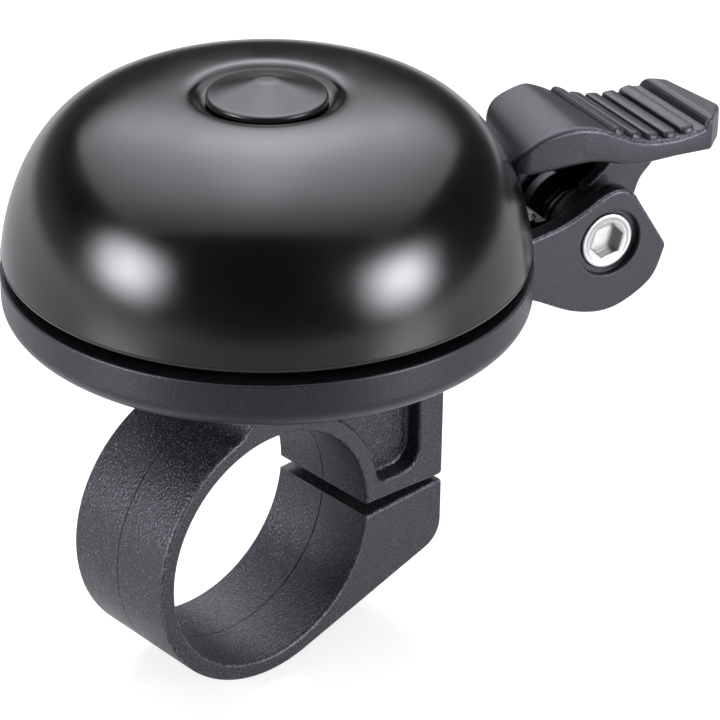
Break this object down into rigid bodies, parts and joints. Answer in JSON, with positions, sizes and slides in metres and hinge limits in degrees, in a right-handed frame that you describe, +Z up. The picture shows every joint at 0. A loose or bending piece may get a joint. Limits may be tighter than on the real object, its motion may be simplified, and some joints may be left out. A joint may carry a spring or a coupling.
{
  "type": "bicycle bell",
  "caption": "Thumb-lever bicycle bell: gloss black dome on a moulded tray, sprung ribbed lever that swings a striker inside the dome, and a split screw clamp for a 25.4 mm handlebar",
  "frame": {"origin": "centre of the handlebar bore, half way along the clamp's width", "axes": "+Y along the handlebar, +Z up through the dome's crown, +X from the bore towards the clamp's split and the lever"},
  "size_m": [0.0744, 0.0522, 0.0617],
  "materials": {
    "dome_black": "gloss black enamel on a spun metal dome",
    "cap_black": "gloss black cap nut",
    "tray_plastic": "satin black moulding with a fine grain",
    "clamp_plastic": "black glass-filled moulding with a coarse grain",
    "lever_plastic": "charcoal black moulding with a fine grain",
    "bright_steel": "bright plated steel",
    "zinc_steel": "zinc plated steel",
    "spring_steel": "oiled spring steel",
    "nylon": "natural nylon"
  },
  "bodies": {
    "bell": {"dome": "dome_black", "dome_cap": "cap_black", "dome_washer": "nylon", "dome_post": "zinc_steel", "centre_bolt": "zinc_steel", "bolt_washer": "zinc_steel", "base": "tray_plastic", "clamp": "clamp_plastic", "clamp_screw": "zinc_steel", "clamp_washer": "zinc_steel", "clamp_nut": "zinc_steel", "pivot_screw": "bright_steel", "pivot_nut": "bright_steel", "pivot_bush": "zinc_steel", "return_spring": "spring_steel"},
    "lever": {"lever": "lever_plastic", "striker_arm": "spring_steel", "striker_head": "zinc_steel", "striker_rivet": "bright_steel", "arm_rivet_1": "bright_steel", "arm_rivet_2": "bright_steel"}
  },
  "joints": [
    {"name": "lever_hinge", "type": "hinge", "parent": "bell", "child": "lever", "pos_m": [0.03947, -0.00848, 0.02515], "axis": [0.2402, 0.9707, 0], "range_deg": [0, 12], "stiffness_Nm_per_rad": 0.05, "springref_deg": -34.38, "deforming": ["return_spring"]}
  ]
}
